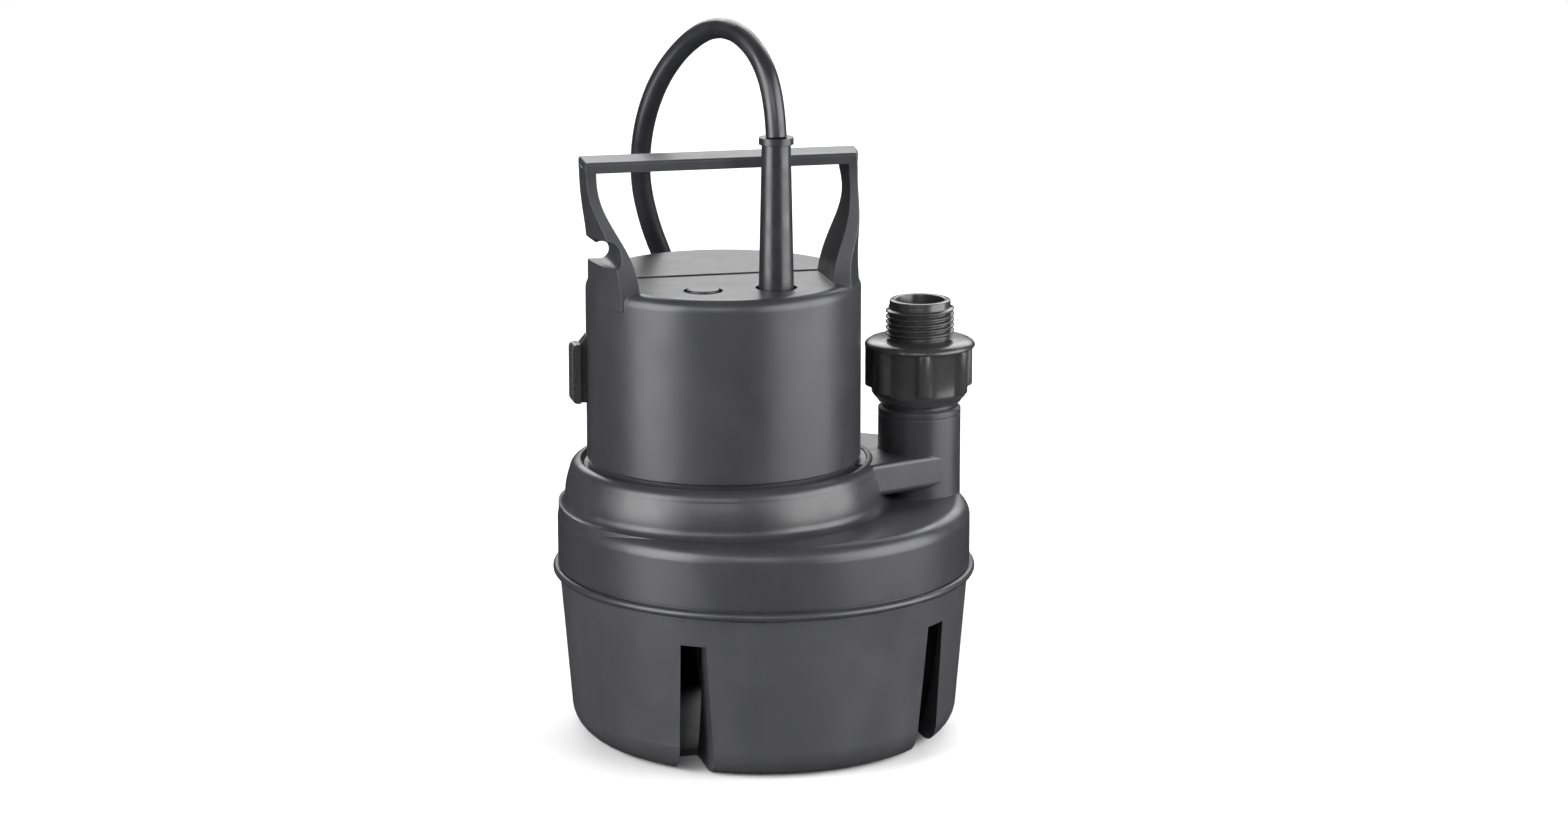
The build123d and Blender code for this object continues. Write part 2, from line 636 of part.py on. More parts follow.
with BuildPart() as lower_bearing:
    add(tube(SHAFT_R + RUNNING, BEARING_R, 112.4, 121.6))
save(lower_bearing, "lower_bearing")

with BuildPart() as upper_bearing:
    add(tube(SHAFT_R + RUNNING, BEARING_R, 156.6, 166))
save(upper_bearing, "upper_bearing")

with BuildPart() as upper_bracket:
    add(tube(0, CAN_INNER, 160, 162.5))
    add(tube(0, 11, 156.6, 166))
    add(tube(0, BEARING_R, 156, 167), mode=Mode.SUBTRACT)
    with Locations(MOTOR.offset(161)):
        with PolarLocations(25, 3, start_angle=90):
            Cylinder(8, 6, mode=Mode.SUBTRACT)
save(upper_bracket, "upper_bracket")

with BuildPart() as stator_core:
    add(tube(STATOR_BORE, CAN_INNER, STACK_LOW, STACK_HIGH))
    with BuildSketch(MOTOR.offset(STACK_LOW)):
        with PolarLocations(30, SLOTS):
            Rectangle(10, 8.4)
        with PolarLocations(24, SLOTS):
            Rectangle(4, 2)
    extrude(amount=STACK_HIGH - STACK_LOW, mode=Mode.SUBTRACT)
save(stator_core, "stator_core")

with BuildPart() as stator_windings:
    with BuildSketch(MOTOR.offset(121)):
        with PolarLocations(30, SLOTS):
            Rectangle(9.6, 8)
    extrude(amount=36)
    add(tube(25.2, 36, 118.5, 125.6))
    add(tube(25.2, 36, 152.4, 159.5))
    fillet(stator_windings.faces().sort_by(Axis.Z)[-1].edges(), 2.0)
    fillet(stator_windings.faces().sort_by(Axis.Z)[0].edges(), 2.0)
save(stator_windings, "stator_windings")

with BuildPart() as shaft:
    add(tube(0, SHAFT_R, 86.6, 168))
    chamfer(shaft.edges().group_by(Axis.Z)[0], 0.6)
    chamfer(shaft.edges().group_by(Axis.Z)[-1], 0.6)
save(shaft, "shaft")

with BuildPart() as rotor_core:
    add(tube(SHAFT_R, ROTOR_R, STACK_LOW, STACK_HIGH))
save(rotor_core, "rotor_core")

with BuildPart() as rotor_end_rings:
    add(tube(13, 22, STACK_LOW - 3.4, STACK_LOW))
    add(tube(13, 22, STACK_HIGH, STACK_HIGH + 3.4))
save(rotor_end_rings, "rotor_end_rings")

with BuildPart() as thrust_washers:
    add(tube(SHAFT_R, 7.2, 121.8, STACK_LOW))
    add(tube(SHAFT_R, 7.2, STACK_HIGH, 156.4))
save(thrust_washers, "thrust_washers")

with BuildPart() as run_capacitor:
    with BuildSketch(Plane((MOTOR_X - 19, 24, 168.4), x_dir=(0, 1, 0), z_dir=(1, 0, 0))):
        Circle(5.4)
    extrude(amount=38)
    fillet(run_capacitor.edges().filter_by(GeomType.CIRCLE), 0.8)
save(run_capacitor, "run_capacitor")

with BuildPart() as capacitor_clip:
    with BuildSketch(Plane((MOTOR_X - 3, 24, 168.4), x_dir=(0, 1, 0), z_dir=(1, 0, 0))):
        Circle(6.0)
        with Locations((0, -4.95)):
            Rectangle(16, 1.9)
        Circle(5.4, mode=Mode.SUBTRACT)
    extrude(amount=6)
save(capacitor_clip, "capacitor_clip")

with BuildPart() as thermal_protector:
    with Locations((MOTOR_X + 27, 6, 165.2)):
        Box(9, 16, 5.4)
    fillet(thermal_protector.edges().filter_by(Axis.Z), 1.5)
save(thermal_protector, "thermal_protector")

with BuildPart() as cord_gland:
    add(tube(4.0, 5.5, CAN_TOP - 1.5, CAN_TOP, centre=ENTRY))
    add(tube(4.0, 8.0, CAN_TOP - 4, CAN_TOP - 1.5, centre=ENTRY))
save(cord_gland, "cord_gland")


def lead(points):
    """One insulated lead inside the motor can."""
    with BuildPart() as wire:
        with BuildLine() as path:
            FilletPolyline(*points, radius=2.0)
        with BuildSketch(Plane(path.line @ 0, z_dir=path.line % 0)):
            Circle(0.9)
        sweep()
    return wire.part


LEAD_Z = 170.0
with BuildPart() as motor_leads:
    add(lead([(ENTRY[0] - 2.0, ENTRY[1] - 1.2, LEAD_Z), (ENTRY[0] - 2.0, ENTRY[1] - 1.2, 165.5),
              (-24, -28, 165.5), (-45, -2, 165.5), (-45, 24, 168.4),
              (MOTOR_X - 19, 24, 168.4)]))
    add(lead([(ENTRY[0] + 2.0, ENTRY[1] - 1.2, LEAD_Z), (ENTRY[0] + 2.0, ENTRY[1] - 1.2, 165.5),
              (ENTRY[0] + 13.0, ENTRY[1] + 8, 165.5), (ENTRY[0] + 13.0, -2, 165.5)]))
    add(lead([(ENTRY[0], ENTRY[1] + 2.2, LEAD_Z), (ENTRY[0], ENTRY[1] + 2.2, 166.0),
              (ENTRY[0] - 8, -14, 166.0), (ENTRY[0] - 8, -14, 162.5)]))
save(motor_leads, "motor_leads")

# ---- hose adapter ----------------------------------------------------------------------
NUT_LOW, NUT_TOP = 129.3, 154.2
NUT_BODY_R = 18.9
FLANGE_LOW = 151.0
RIB_LOW = 134.2
RIB_R = 2.9
RIB_COUNT = 7
NOSE_TOP = 169.7
THREAD_LOW = 155.8
THREAD_RINGS = 5
WASHER_LOW = 148.0

with BuildPart() as hose_adapter:
    with BuildSketch(Plane((PIPE_X, 0, 0), x_dir=(1, 0, 0), z_dir=(0, -1, 0))):
        with BuildLine():
            nose_r = HOSE_ROOT_R - 0.25
            outline = [(15.7, NUT_LOW), (16.3, NUT_LOW), (NUT_BODY_R, NUT_LOW + 3.6),
                       (NUT_BODY_R, FLANGE_LOW), (NUT_R, FLANGE_LOW), (NUT_R, NUT_TOP - 2.3),
                       (NUT_R - 0.8, NUT_TOP - 1.2), (NUT_R - 3.0, NUT_TOP - 0.3),
                       (NUT_R - 5.0, NUT_TOP), (HOSE_ROOT_R, NUT_TOP), (HOSE_ROOT_R, THREAD_LOW)]
            for turn in range(THREAD_RINGS):
                z = THREAD_LOW + turn * THREAD_PITCH
                outline += [(HOSE_THREAD_R, z + 0.8), (HOSE_THREAD_R, z + 1.3),
                            (HOSE_ROOT_R, z + THREAD_PITCH - 0.1)]
            outline += [(nose_r, NOSE_TOP - 2.6), (nose_r, NOSE_TOP - 0.4),
                        (nose_r - 0.4, NOSE_TOP), (HOSE_BORE_R + 0.4, NOSE_TOP),
                        (HOSE_BORE_R, NOSE_TOP - 0.4), (HOSE_BORE_R, WASHER_LOW + 2.0),
                        (15.7, WASHER_LOW + 2.0)]
            Polyline(*outline, close=True)
        make_face()
    revolve(axis=PIPE_AXIS)
    with BuildSketch(Plane((PIPE_X, 0, RIB_LOW))):
        with PolarLocations(NUT_R - RIB_R, RIB_COUNT, start_angle=-100):
            Circle(RIB_R)
        Circle(16.5, mode=Mode.SUBTRACT)
    extrude(amount=FLANGE_LOW + 0.4 - RIB_LOW)
save(hose_adapter, "hose_adapter")

with BuildPart() as adapter_washer:
    add(tube(HOSE_BORE_R + 0.6, 15.3, WASHER_LOW + 0.02, WASHER_LOW + 1.98, centre=(PIPE_X, 0)))
save(adapter_washer, "adapter_washer")

# ---- power cord ------------------------------------------------------------------------
with BuildPart() as strain_relief:
    add(tube(0, 4.0, LEAD_Z, CAN_TOP + 0.3, centre=ENTRY))
    add(tube(0, 9.5, CAN_TOP + 0.3, TOP_Z - HOUSING_WALL, centre=ENTRY))
    with BuildSketch(Plane((ENTRY[0], ENTRY[1], 0), x_dir=(1, 0, 0), z_dir=(0, -1, 0))):
        with BuildLine():
            Polyline((0, TOP_Z - 4), (6.85, TOP_Z - 4), (5.55, EXIT_Z - 2.6),
                     (6.65, EXIT_Z - 2.6), (6.65, EXIT_Z), (0, EXIT_Z), close=True)
        make_face()
    revolve(axis=Axis((ENTRY[0], ENTRY[1], 0), (0, 0, 1)))
save(strain_relief, "strain_relief")

# Loop over the handle, down behind the pump and onto the floor, up to the coil.
CORD_ROUTE = [
    (-1.7, -29.4, 241), (-1.9, -27.8, 254), (-4.5, -19, 269), (-10, -3, 278),
    (-17, 14, 278), (-25, 29, 269), (-33, 40, 254), (-38, 47, 235),
    (-38.5, 53, 213.5), (-33, 61, 193), (-24, 70, 173), (-17, 81, 149),
    (-13, 91, 118), (-13, 97, 90), (-13, 98, 66), (-9, 99, 44),
    (1.5, 99.3, 25), (17, 98.9, 12), (35, 98.3, 5.8), (52, 98, 4.8),
]
TAIL_ROUTE = [(52, 202, 12.8), (44, 203, 12.2), (35, 204.6, 11.4), (26, 205.2, 11)]
PLUG_X, PLUG_Y, PLUG_Z = 26.0, 205.2, 11.0


def corner_radii(points, label):
    """The largest tangent arc at each corner: 0.45 of the shorter run over tan(half turn)."""
    radii = []
    for before, corner, after in zip(points, points[1:], points[2:]):
        run_in = Vector(*corner) - Vector(*before)
        run_out = Vector(*after) - Vector(*corner)
        turn = math.radians(run_in.get_angle(run_out))
        radii.append(0.45 * min(run_in.length, run_out.length) / math.tan(turn / 2))
    print(label, "corner radii:", [round(radius, 1) for radius in radii])
    return radii


def cord_tube(builder_name, points):
    """A round cord along straight runs joined by tangent arcs."""
    radii = corner_radii(points, builder_name)
    with BuildPart() as cord:
        with BuildLine() as path:
            FilletPolyline(*points, radius=radii)
        with BuildSketch(Plane(path.line @ 0, z_dir=path.line % 0)):
            Circle(CORD_R)
        sweep()
    length = sum(edge.length for edge in path.edges())
    expected = math.pi * CORD_R ** 2 * length
    print(builder_name, "length", round(length, 1),
          "volume / section x length", round(cord.part.volume / expected, 5))
    save(cord, builder_name)


cord_tube("power_cord", CORD_ROUTE)
cord_tube("cord_tail", TAIL_ROUTE)

with BuildPart() as cord_coil:
    with BuildSketch(Plane((COIL_X, COIL_Y, COIL_LOW))):
        Circle(COIL_RADII[-1] + CORD_R)
        Circle(COIL_RADII[0] - CORD_R, mode=Mode.SUBTRACT)
    extrude(amount=4 * CORD_R)
    fillet(cord_coil.edges(), 3.0)
save(cord_coil, "cord_coil")

with BuildPart() as cord_tie:
    tie_plane = Plane((COIL_X + COIL_RADII[1], COIL_Y - 4, COIL_LOW + 2 * CORD_R),
                      x_dir=(1, 0, 0), z_dir=(0, 1, 0))
    with BuildSketch(tie_plane):
        RectangleRounded(6 * CORD_R + 2 * TIE_THICK + 0.6, 4 * CORD_R + 2 * TIE_THICK, 3.6)
        RectangleRounded(6 * CORD_R + 0.6, 4 * CORD_R, 3.0, mode=Mode.SUBTRACT)
    extrude(amount=8)
save(cord_tie, "cord_tie")

PLUG_AXIS_PLANE = Plane((PLUG_X, PLUG_Y, PLUG_Z), x_dir=(0, 1, 0), z_dir=(-1, 0, 0))
BODY_START = 16.0
BODY_LENGTH = 36.0
with BuildPart() as plug_body:
    with BuildSketch(PLUG_AXIS_PLANE):
        Circle(4.6)
    with BuildSketch(PLUG_AXIS_PLANE.offset(BODY_START)):
        Circle(6.6)
    loft()
    with BuildSketch(PLUG_AXIS_PLANE.offset(BODY_START)):
        RectangleRounded(15, 15, 6)
    with BuildSketch(PLUG_AXIS_PLANE.offset(BODY_START + 10)):
        RectangleRounded(25, 21, 7)
    loft()
    with BuildSketch(PLUG_AXIS_PLANE.offset(BODY_START + 10)):
        RectangleRounded(25, 21, 7)
    extrude(amount=BODY_LENGTH - 10)
    chamfer(plug_body.faces().sort_by(Axis.X)[0].edges(), 0.8)
save(plug_body, "plug_body")

FACE_X = PLUG_X - BODY_START - BODY_LENGTH
BLADE_LENGTH = 15.8
with BuildPart() as plug_blades:
    for side in (-1, 1):
        with Locations((FACE_X - BLADE_LENGTH / 2, PLUG_Y + side * 6.35, PLUG_Z + 3)):
            Box(BLADE_LENGTH, 1.5, 6.35)
save(plug_blades, "plug_blades")

with BuildPart() as ground_pin:
    with BuildSketch(Plane((FACE_X, PLUG_Y, PLUG_Z - 5.5), x_dir=(0, 1, 0), z_dir=(-1, 0, 0))):
        Circle(2.4)
    extrude(amount=17.5)
    fillet(ground_pin.edges().sort_by(Axis.X)[0], 1.8)
save(ground_pin, "ground_pin")
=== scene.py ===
"""Looks of a submersible sump pump: camera, cord, adapter, plug, tie, materials and studio.

Metres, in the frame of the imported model: +Z up, the front of the pump faces -Y.
"""
import json
import math

import bpy
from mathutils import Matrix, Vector


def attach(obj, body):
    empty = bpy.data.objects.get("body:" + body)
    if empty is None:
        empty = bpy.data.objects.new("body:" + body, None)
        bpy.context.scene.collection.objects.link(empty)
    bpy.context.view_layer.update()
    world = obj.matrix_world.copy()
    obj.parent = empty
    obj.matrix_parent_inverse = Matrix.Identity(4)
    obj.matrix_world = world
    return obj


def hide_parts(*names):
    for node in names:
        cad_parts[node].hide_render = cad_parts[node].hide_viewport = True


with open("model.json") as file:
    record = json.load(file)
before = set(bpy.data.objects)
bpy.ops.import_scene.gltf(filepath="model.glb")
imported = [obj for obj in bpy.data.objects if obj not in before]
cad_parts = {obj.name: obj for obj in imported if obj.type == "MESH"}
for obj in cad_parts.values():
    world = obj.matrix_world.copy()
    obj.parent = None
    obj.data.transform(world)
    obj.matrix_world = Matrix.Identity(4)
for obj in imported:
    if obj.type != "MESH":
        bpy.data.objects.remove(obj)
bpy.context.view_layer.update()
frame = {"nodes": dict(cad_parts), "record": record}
NODES = frame["nodes"]
MM = 0.001

# ---- camera ----------------------------------------------------------------------------
CAMERA_PLACE = Vector((-0.3685, -1.6157, 0.5091))
CAMERA_TARGET = Vector((0.00817, 0.0, 0.1262))
FOCAL_LENGTH, SENSOR_WIDTH = 99.77, 36.0

camera_data = bpy.data.cameras.new("camera")
camera_data.lens = FOCAL_LENGTH
camera_data.sensor_width = SENSOR_WIDTH
camera_data.clip_start = 0.05
camera_data.clip_end = 60.0
camera = bpy.data.objects.new("camera", camera_data)
bpy.context.scene.collection.objects.link(camera)
camera.location = CAMERA_PLACE
camera.rotation_mode = "QUATERNION"
camera.rotation_quaternion = (CAMERA_TARGET - CAMERA_PLACE).to_track_quat("-Z", "Y")
bpy.context.scene.camera = camera

# ---- power cord ------------------------------------------------------------------------
CORD_R = 4.0 * MM
CORD_ROUTE = [
    (-0.0017, -0.0294, 0.241), (-0.0019, -0.0278, 0.254), (-0.0045, -0.019, 0.269),
    (-0.010, -0.003, 0.278), (-0.017, 0.014, 0.278), (-0.025, 0.029, 0.269),
    (-0.033, 0.040, 0.254), (-0.038, 0.047, 0.235), (-0.0385, 0.053, 0.2135),
    (-0.033, 0.061, 0.193), (-0.024, 0.070, 0.173), (-0.017, 0.081, 0.149),
    (-0.013, 0.091, 0.118), (-0.013, 0.097, 0.090), (-0.013, 0.098, 0.066),
    (-0.009, 0.099, 0.044), (0.0015, 0.0993, 0.025), (0.017, 0.0989, 0.012),
    (0.035, 0.0983, 0.0058), (0.052, 0.098, 0.0048),
]
TAIL_ROUTE = [(0.044, 0.203, 0.0122), (0.035, 0.2046, 0.0114), (0.026, 0.2052, 0.011)]
COIL_CENTRE = (0.052, 0.150)
COIL_INNER, COIL_MIDDLE, COIL_OUTER = 0.036, 0.044, 0.052
COIL_Z_LOW, COIL_Z_HIGH = 0.0048, 0.0128
COIL_TURNS = 5.5
COIL_STEPS = 24                # points per turn
# Where the cord changes lane in the coil: (turn it starts, turn it ends, old lane, new lane)
LANE_CHANGES = [
    (0.833, 1.0, COIL_OUTER, COIL_MIDDLE),
    (1.833, 2.0, COIL_MIDDLE, COIL_INNER),
    (3.55, 3.717, COIL_INNER, COIL_MIDDLE),
    (4.55, 4.717, COIL_MIDDLE, COIL_OUTER),
]
LAYER_CHANGE = (2.75, 2.917)   # where it climbs to the upper layer


def ease(value, low, high):
    """0 below low, 1 above high, and a smooth step between them."""
    share = min(1.0, max(0.0, (value - low) / (high - low)))
    return share * share * (3 - 2 * share)


def coil_points():
    """The put-away turns: two layers of three lanes, wound inwards below and outwards above."""
    points = []
    inset = math.cos(math.pi / COIL_STEPS)  # the spline runs inside its points by this much
    for step in range(1, int(COIL_TURNS * COIL_STEPS) + 1):
        turn = step / COIL_STEPS
        radius = COIL_OUTER
        for first, last, lane_from, lane_to in LANE_CHANGES:
            radius += (lane_to - lane_from) * ease(turn, first, last)
        height = COIL_Z_LOW + (COIL_Z_HIGH - COIL_Z_LOW) * ease(turn, *LAYER_CHANGE)
        angle = 2 * math.pi * turn - math.pi / 2
        points.append((COIL_CENTRE[0] + radius / inset * math.cos(angle),
                       COIL_CENTRE[1] + radius / inset * math.sin(angle), height))
    return points


def link(name, data, body):
    """A new piece in the scene, riding a body."""
    piece = bpy.data.objects.new(name, data)
    bpy.context.scene.collection.objects.link(piece)
    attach(piece, body)
    return piece


def make_cord():
    """The mains lead: one NURBS spline from the strain relief to the plug."""
    curve = bpy.data.curves.new("mains_lead", "CURVE")
    curve.dimensions = "3D"
    curve.bevel_depth = 1.0        # times each point's radius
    curve.bevel_resolution = 7
    curve.resolution_u = 10
    curve.use_fill_caps = True
    points = CORD_ROUTE + coil_points() + TAIL_ROUTE
    spline = curve.splines.new("NURBS")
    spline.points.add(len(points) - 1)
    for point, place in zip(spline.points, points):
        point.co = (*place, 1.0)
        point.radius = CORD_R
    spline.order_u = 3
    spline.use_endpoint_u = True
    return link("mains_lead", curve, "root")


mains_lead = make_cord()
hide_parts("power_cord", "cord_coil", "cord_tail")


# ---- mesh helpers ----------------------------------------------------------------------
def tube_mesh(name, rows, capped=True):
    """A mesh from rows of points round a loop, joined row to row.

    Its ends are filled, or the last row is joined back to the first."""
    columns = len(rows[0])
    last = (len(rows) - 1) * columns
    vertices = [point for row in rows for point in row]
    faces = []
    for low in range(0, last, columns):
        high = low + columns
        for column in range(columns):
            following = (column + 1) % columns
            faces.append((low + column, low + following, high + following, high + column))
    if capped:
        faces.append(tuple(reversed(range(columns))))
        faces.append(tuple(range(last, last + columns)))
    else:
        for column in range(columns):
            following = (column + 1) % columns
            faces.append((last + column, last + following, following, column))
    mesh = bpy.data.meshes.new(name)
    mesh.from_pydata(vertices, [], faces)
    mesh.validate()
    return mesh


def smooth(mesh, degrees):
    """Smooth shading, with edges sharper than this angle kept sharp."""
    mesh.shade_smooth()
    mesh.set_sharp_from_angle(angle=math.radians(degrees))


# ---- hose adapter ----------------------------------------------------------------------
# Millimetres, as are the plug's and the tie's sizes below.
PIPE_X = 63.0                  # axis of the outlet stub
NUT_R = 21.7                   # over the ribs and the flange
NUT_BODY_R = 18.9
SKIRT_LOW_R = 16.3             # the nut narrows to this at its lower rim
NUT_LOW, NUT_TOP = 129.3, 154.2
RIB_LOW = 134.2
FLANGE_LOW = 151.0
RIB_COUNT = 7
RIB_FIRST_DEG = -100.0
RIB_R = 2.9
THREAD_LOW, THREAD_HIGH = 154.12, 167.2
THREAD_STEPS = 72              # rows over the thread's length
THREAD_PITCH = 2.209
CREST_R, ROOT_R = 13.495, 12.1
CREST_FLAT, ROOT_FLAT = 0.14, 0.9    # where a crest ends and a root starts, from 0 to 1
NOSE_TOP = 169.7
BORE_R = 9.45
SOCKET_R, SOCKET_TOP = 15.7, 150.0   # the hidden thread inside the nut
ADAPTER_COLUMNS = 252


def rib_radius(angle):
    """Outer radius of the nut's body at an angle: a round rib, or the plain wall between."""
    pitch = 2 * math.pi / RIB_COUNT
    offset = (angle - math.radians(RIB_FIRST_DEG) + pitch / 2) % pitch - pitch / 2
    centre = NUT_R - RIB_R
    across = centre * math.sin(offset)
    if abs(across) >= RIB_R:
        return NUT_BODY_R
    return max(NUT_BODY_R, centre * math.cos(offset) + math.sqrt(RIB_R ** 2 - across ** 2))


def thread_radius(height, angle):
    """Outer radius of the hose thread, which climbs one pitch in a turn."""
    phase = ((height - THREAD_LOW) / THREAD_PITCH - angle / (2 * math.pi)) % 1.0
    away = abs(phase - 0.5) * 2            # 0 at the crest, 1 at the root
    rise = 1 - ease(away, CREST_FLAT, ROOT_FLAT)
    fade = ease(height, THREAD_LOW + 0.6, THREAD_LOW + 1.8)
    fade *= 1 - ease(height, THREAD_HIGH - 1.0, THREAD_HIGH)
    return ROOT_R + (CREST_R - ROOT_R) * rise * fade


def adapter_profile():
    """Rows of the adapter from its lower rim over the outside and down the bore.

    Each row is (height, radius as a number or a function of the angle)."""
    def skirt(share):
        return lambda angle: SKIRT_LOW_R + (NUT_BODY_R - SKIRT_LOW_R) * share

    def rib(share):
        return lambda angle: NUT_BODY_R + (rib_radius(angle) - NUT_BODY_R) * share

    rows = [(NUT_LOW + 0.2, 16.0), (NUT_LOW, 16.15), (NUT_LOW + 0.1, 16.3)]
    rows += [(NUT_LOW + 0.6, skirt(0.08)), (NUT_LOW + 1.4, skirt(0.34)), (NUT_LOW + 1.9, skirt(0.42)),
             (NUT_LOW + 2.1, skirt(0.62)), (NUT_LOW + 3.2, skirt(0.9)), (NUT_LOW + 3.6, skirt(1.0))]
    rows += [(RIB_LOW - 0.4, rib(0.0)), (RIB_LOW - 0.15, rib(0.5)), (RIB_LOW + 0.2, rib(0.88)),
             (RIB_LOW + 0.7, rib(1.0)), (FLANGE_LOW - 0.7, rib(1.0))]
    rows += [(FLANGE_LOW - 0.4, lambda angle: max(rib_radius(angle), NUT_BODY_R + 0.2)),
             (FLANGE_LOW - 0.1, lambda angle: max(rib_radius(angle), NUT_BODY_R + 0.9)),
             (FLANGE_LOW, NUT_R - 0.9), (FLANGE_LOW + 0.15, NUT_R - 0.25), (FLANGE_LOW + 0.5, NUT_R)]
    rows += [(NUT_TOP - 2.4, NUT_R), (NUT_TOP - 1.8, NUT_R - 0.25), (NUT_TOP - 1.2, NUT_R - 0.8),
             (NUT_TOP - 0.7, NUT_R - 1.6), (NUT_TOP - 0.3, NUT_R - 2.8), (NUT_TOP, NUT_R - 4.8)]
    rows += [(NUT_TOP, ROOT_R + 0.8), (NUT_TOP + 0.15, ROOT_R + 0.25), (NUT_TOP + 0.4, ROOT_R)]
    for step in range(1, THREAD_STEPS + 1):
        height = NUT_TOP + 0.4 + (THREAD_HIGH - NUT_TOP - 0.4) * step / THREAD_STEPS
        rows.append((height, lambda angle, height=height: thread_radius(height, angle)))
    nose = ROOT_R - 0.1
    rows += [(THREAD_HIGH + 0.2, nose), (NOSE_TOP - 0.7, nose), (NOSE_TOP - 0.25, nose - 0.15),
             (NOSE_TOP, nose - 0.55), (NOSE_TOP, BORE_R + 0.5), (NOSE_TOP - 0.15, BORE_R + 0.15),
             (NOSE_TOP - 0.5, BORE_R), (SOCKET_TOP + 0.1, BORE_R), (SOCKET_TOP, BORE_R + 0.1),
             (SOCKET_TOP, SOCKET_R - 0.1), (SOCKET_TOP - 0.1, SOCKET_R)]
    turns = int((SOCKET_TOP - 2 - NUT_LOW) / THREAD_PITCH)
    for turn in range(turns):
        height = SOCKET_TOP - 2.2 - turn * THREAD_PITCH
        rows += [(height, SOCKET_R), (height - 0.6, SOCKET_R - 0.25), (height - 1.2, SOCKET_R)]
    rows.append((NUT_LOW + 0.5, SOCKET_R))
    return rows


def make_adapter():
    """The hose adapter: ribbed nut below, helical garden-hose thread above."""
    rows = []
    for height, radius in adapter_profile():
        row = []
        for column in range(ADAPTER_COLUMNS):
            angle = 2 * math.pi * column / ADAPTER_COLUMNS
            reach = radius(angle) if callable(radius) else radius
            row.append(((PIPE_X + reach * math.cos(angle)) * MM, reach * math.sin(angle) * MM,
                        height * MM))
        rows.append(row)
    mesh = tube_mesh("threaded_adapter", rows, capped=False)
    smooth(mesh, 35)
    return link("threaded_adapter", mesh, "adapter")


threaded_adapter = make_adapter()
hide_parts("hose_adapter")


# ---- plug ------------------------------------------------------------------------------
PLUG_START, PLUG_Y, PLUG_Z = 26.0, 205.2, 11.0     # where the cord enters; it points to -X
PLUG_COLUMNS = 72
RELIEF_RINGS, RELIEF_PITCH = 5, 2.6
GRIP_GROOVES, GRIP_PITCH = 5, 3.0


def rounded_section(half_wide, half_high, power, column):
    """One point of a rounded rectangle; a power of 2 is an ellipse, higher is squarer."""
    angle = 2 * math.pi * column / PLUG_COLUMNS
    cosine, sine = math.cos(angle), math.sin(angle)
    across = math.copysign(abs(cosine) ** (2 / power), cosine) * half_wide
    up = math.copysign(abs(sine) ** (2 / power), sine) * half_high
    return across, up


def plug_sections():
    """Sections of the moulded plug along its axis: (distance, half width, half height, power)."""
    sections = [(0.0, 4.1, 4.1, 2), (0.2, 4.5, 4.5, 2)]
    for index in range(RELIEF_RINGS):        # the bend-relief rings behind the body
        start = 0.8 + index * RELIEF_PITCH
        ring = 4.7 + 0.32 * index
        for along, out in ((0.0, 0.0), (1.3, 0.15), (1.5, -0.7), (2.3, -0.6)):
            sections.append((start + along, ring + out, ring + out, 2))
    sections += [(14.4, 6.4, 6.4, 2), (15.6, 6.7, 6.7, 2.1), (16.6, 7.4, 7.3, 2.3),
                 (18.5, 8.8, 8.2, 2.6), (21.0, 10.4, 9.2, 3.0), (24.0, 11.7, 10.0, 3.4),
                 (27.0, 12.3, 10.35, 3.8)]
    for index in range(GRIP_GROOVES):        # finger grooves across the grip
        start = 28.4 + index * GRIP_PITCH
        sections += [(start, 12.4, 10.4, 4.0), (start + 0.35, 12.0, 10.1, 4.0),
                     (start + 0.9, 11.8, 9.9, 4.0), (start + 1.45, 12.0, 10.1, 4.0),
                     (start + 1.8, 12.4, 10.4, 4.0)]
    sections += [(46.0, 12.5, 10.5, 4.4), (51.1, 12.5, 10.5, 4.6), (51.6, 12.35, 10.35, 4.6),
                 (51.9, 12.0, 10.0, 4.6), (52.0, 11.5, 9.5, 4.6)]
    return sections


def make_plug():
    """The moulded plug body with its bend relief."""
    rows = []
    for distance, half_wide, half_high, power in plug_sections():
        row = []
        for column in range(PLUG_COLUMNS):
            across, up = rounded_section(half_wide, half_high, power, column)
            row.append(((PLUG_START - distance) * MM, (PLUG_Y - across) * MM, (PLUG_Z + up) * MM))
        rows.append(row)
    mesh = tube_mesh("moulded_plug", rows)
    smooth(mesh, 38)
    return link("moulded_plug", mesh, "root")


moulded_plug = make_plug()
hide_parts("plug_body")

# ---- coil tie --------------------------------------------------------------------------
TIE_X, TIE_Y = 96.0, 150.0
TIE_HALF_X, TIE_LOW, TIE_HIGH = 12.15, 0.4, 17.2    # centreline of the band
TIE_CORNER, TIE_CORNER_STEPS = 3.4, 8
TIE_THICK, TIE_WIDE = 0.8, 8.0
TIE_OVERLAP, TIE_OVERLAP_STEPS = 13.0, 12           # the loose end, lying over the band
TIE_LIFT, TIE_LIFT_LENGTH = 0.9, 3.0                # how it climbs on top
TIE_EDGE = [(0.0, 0.0), (0.15, 0.75), (0.5, 1.0)]    # (inset, share of the half thickness)


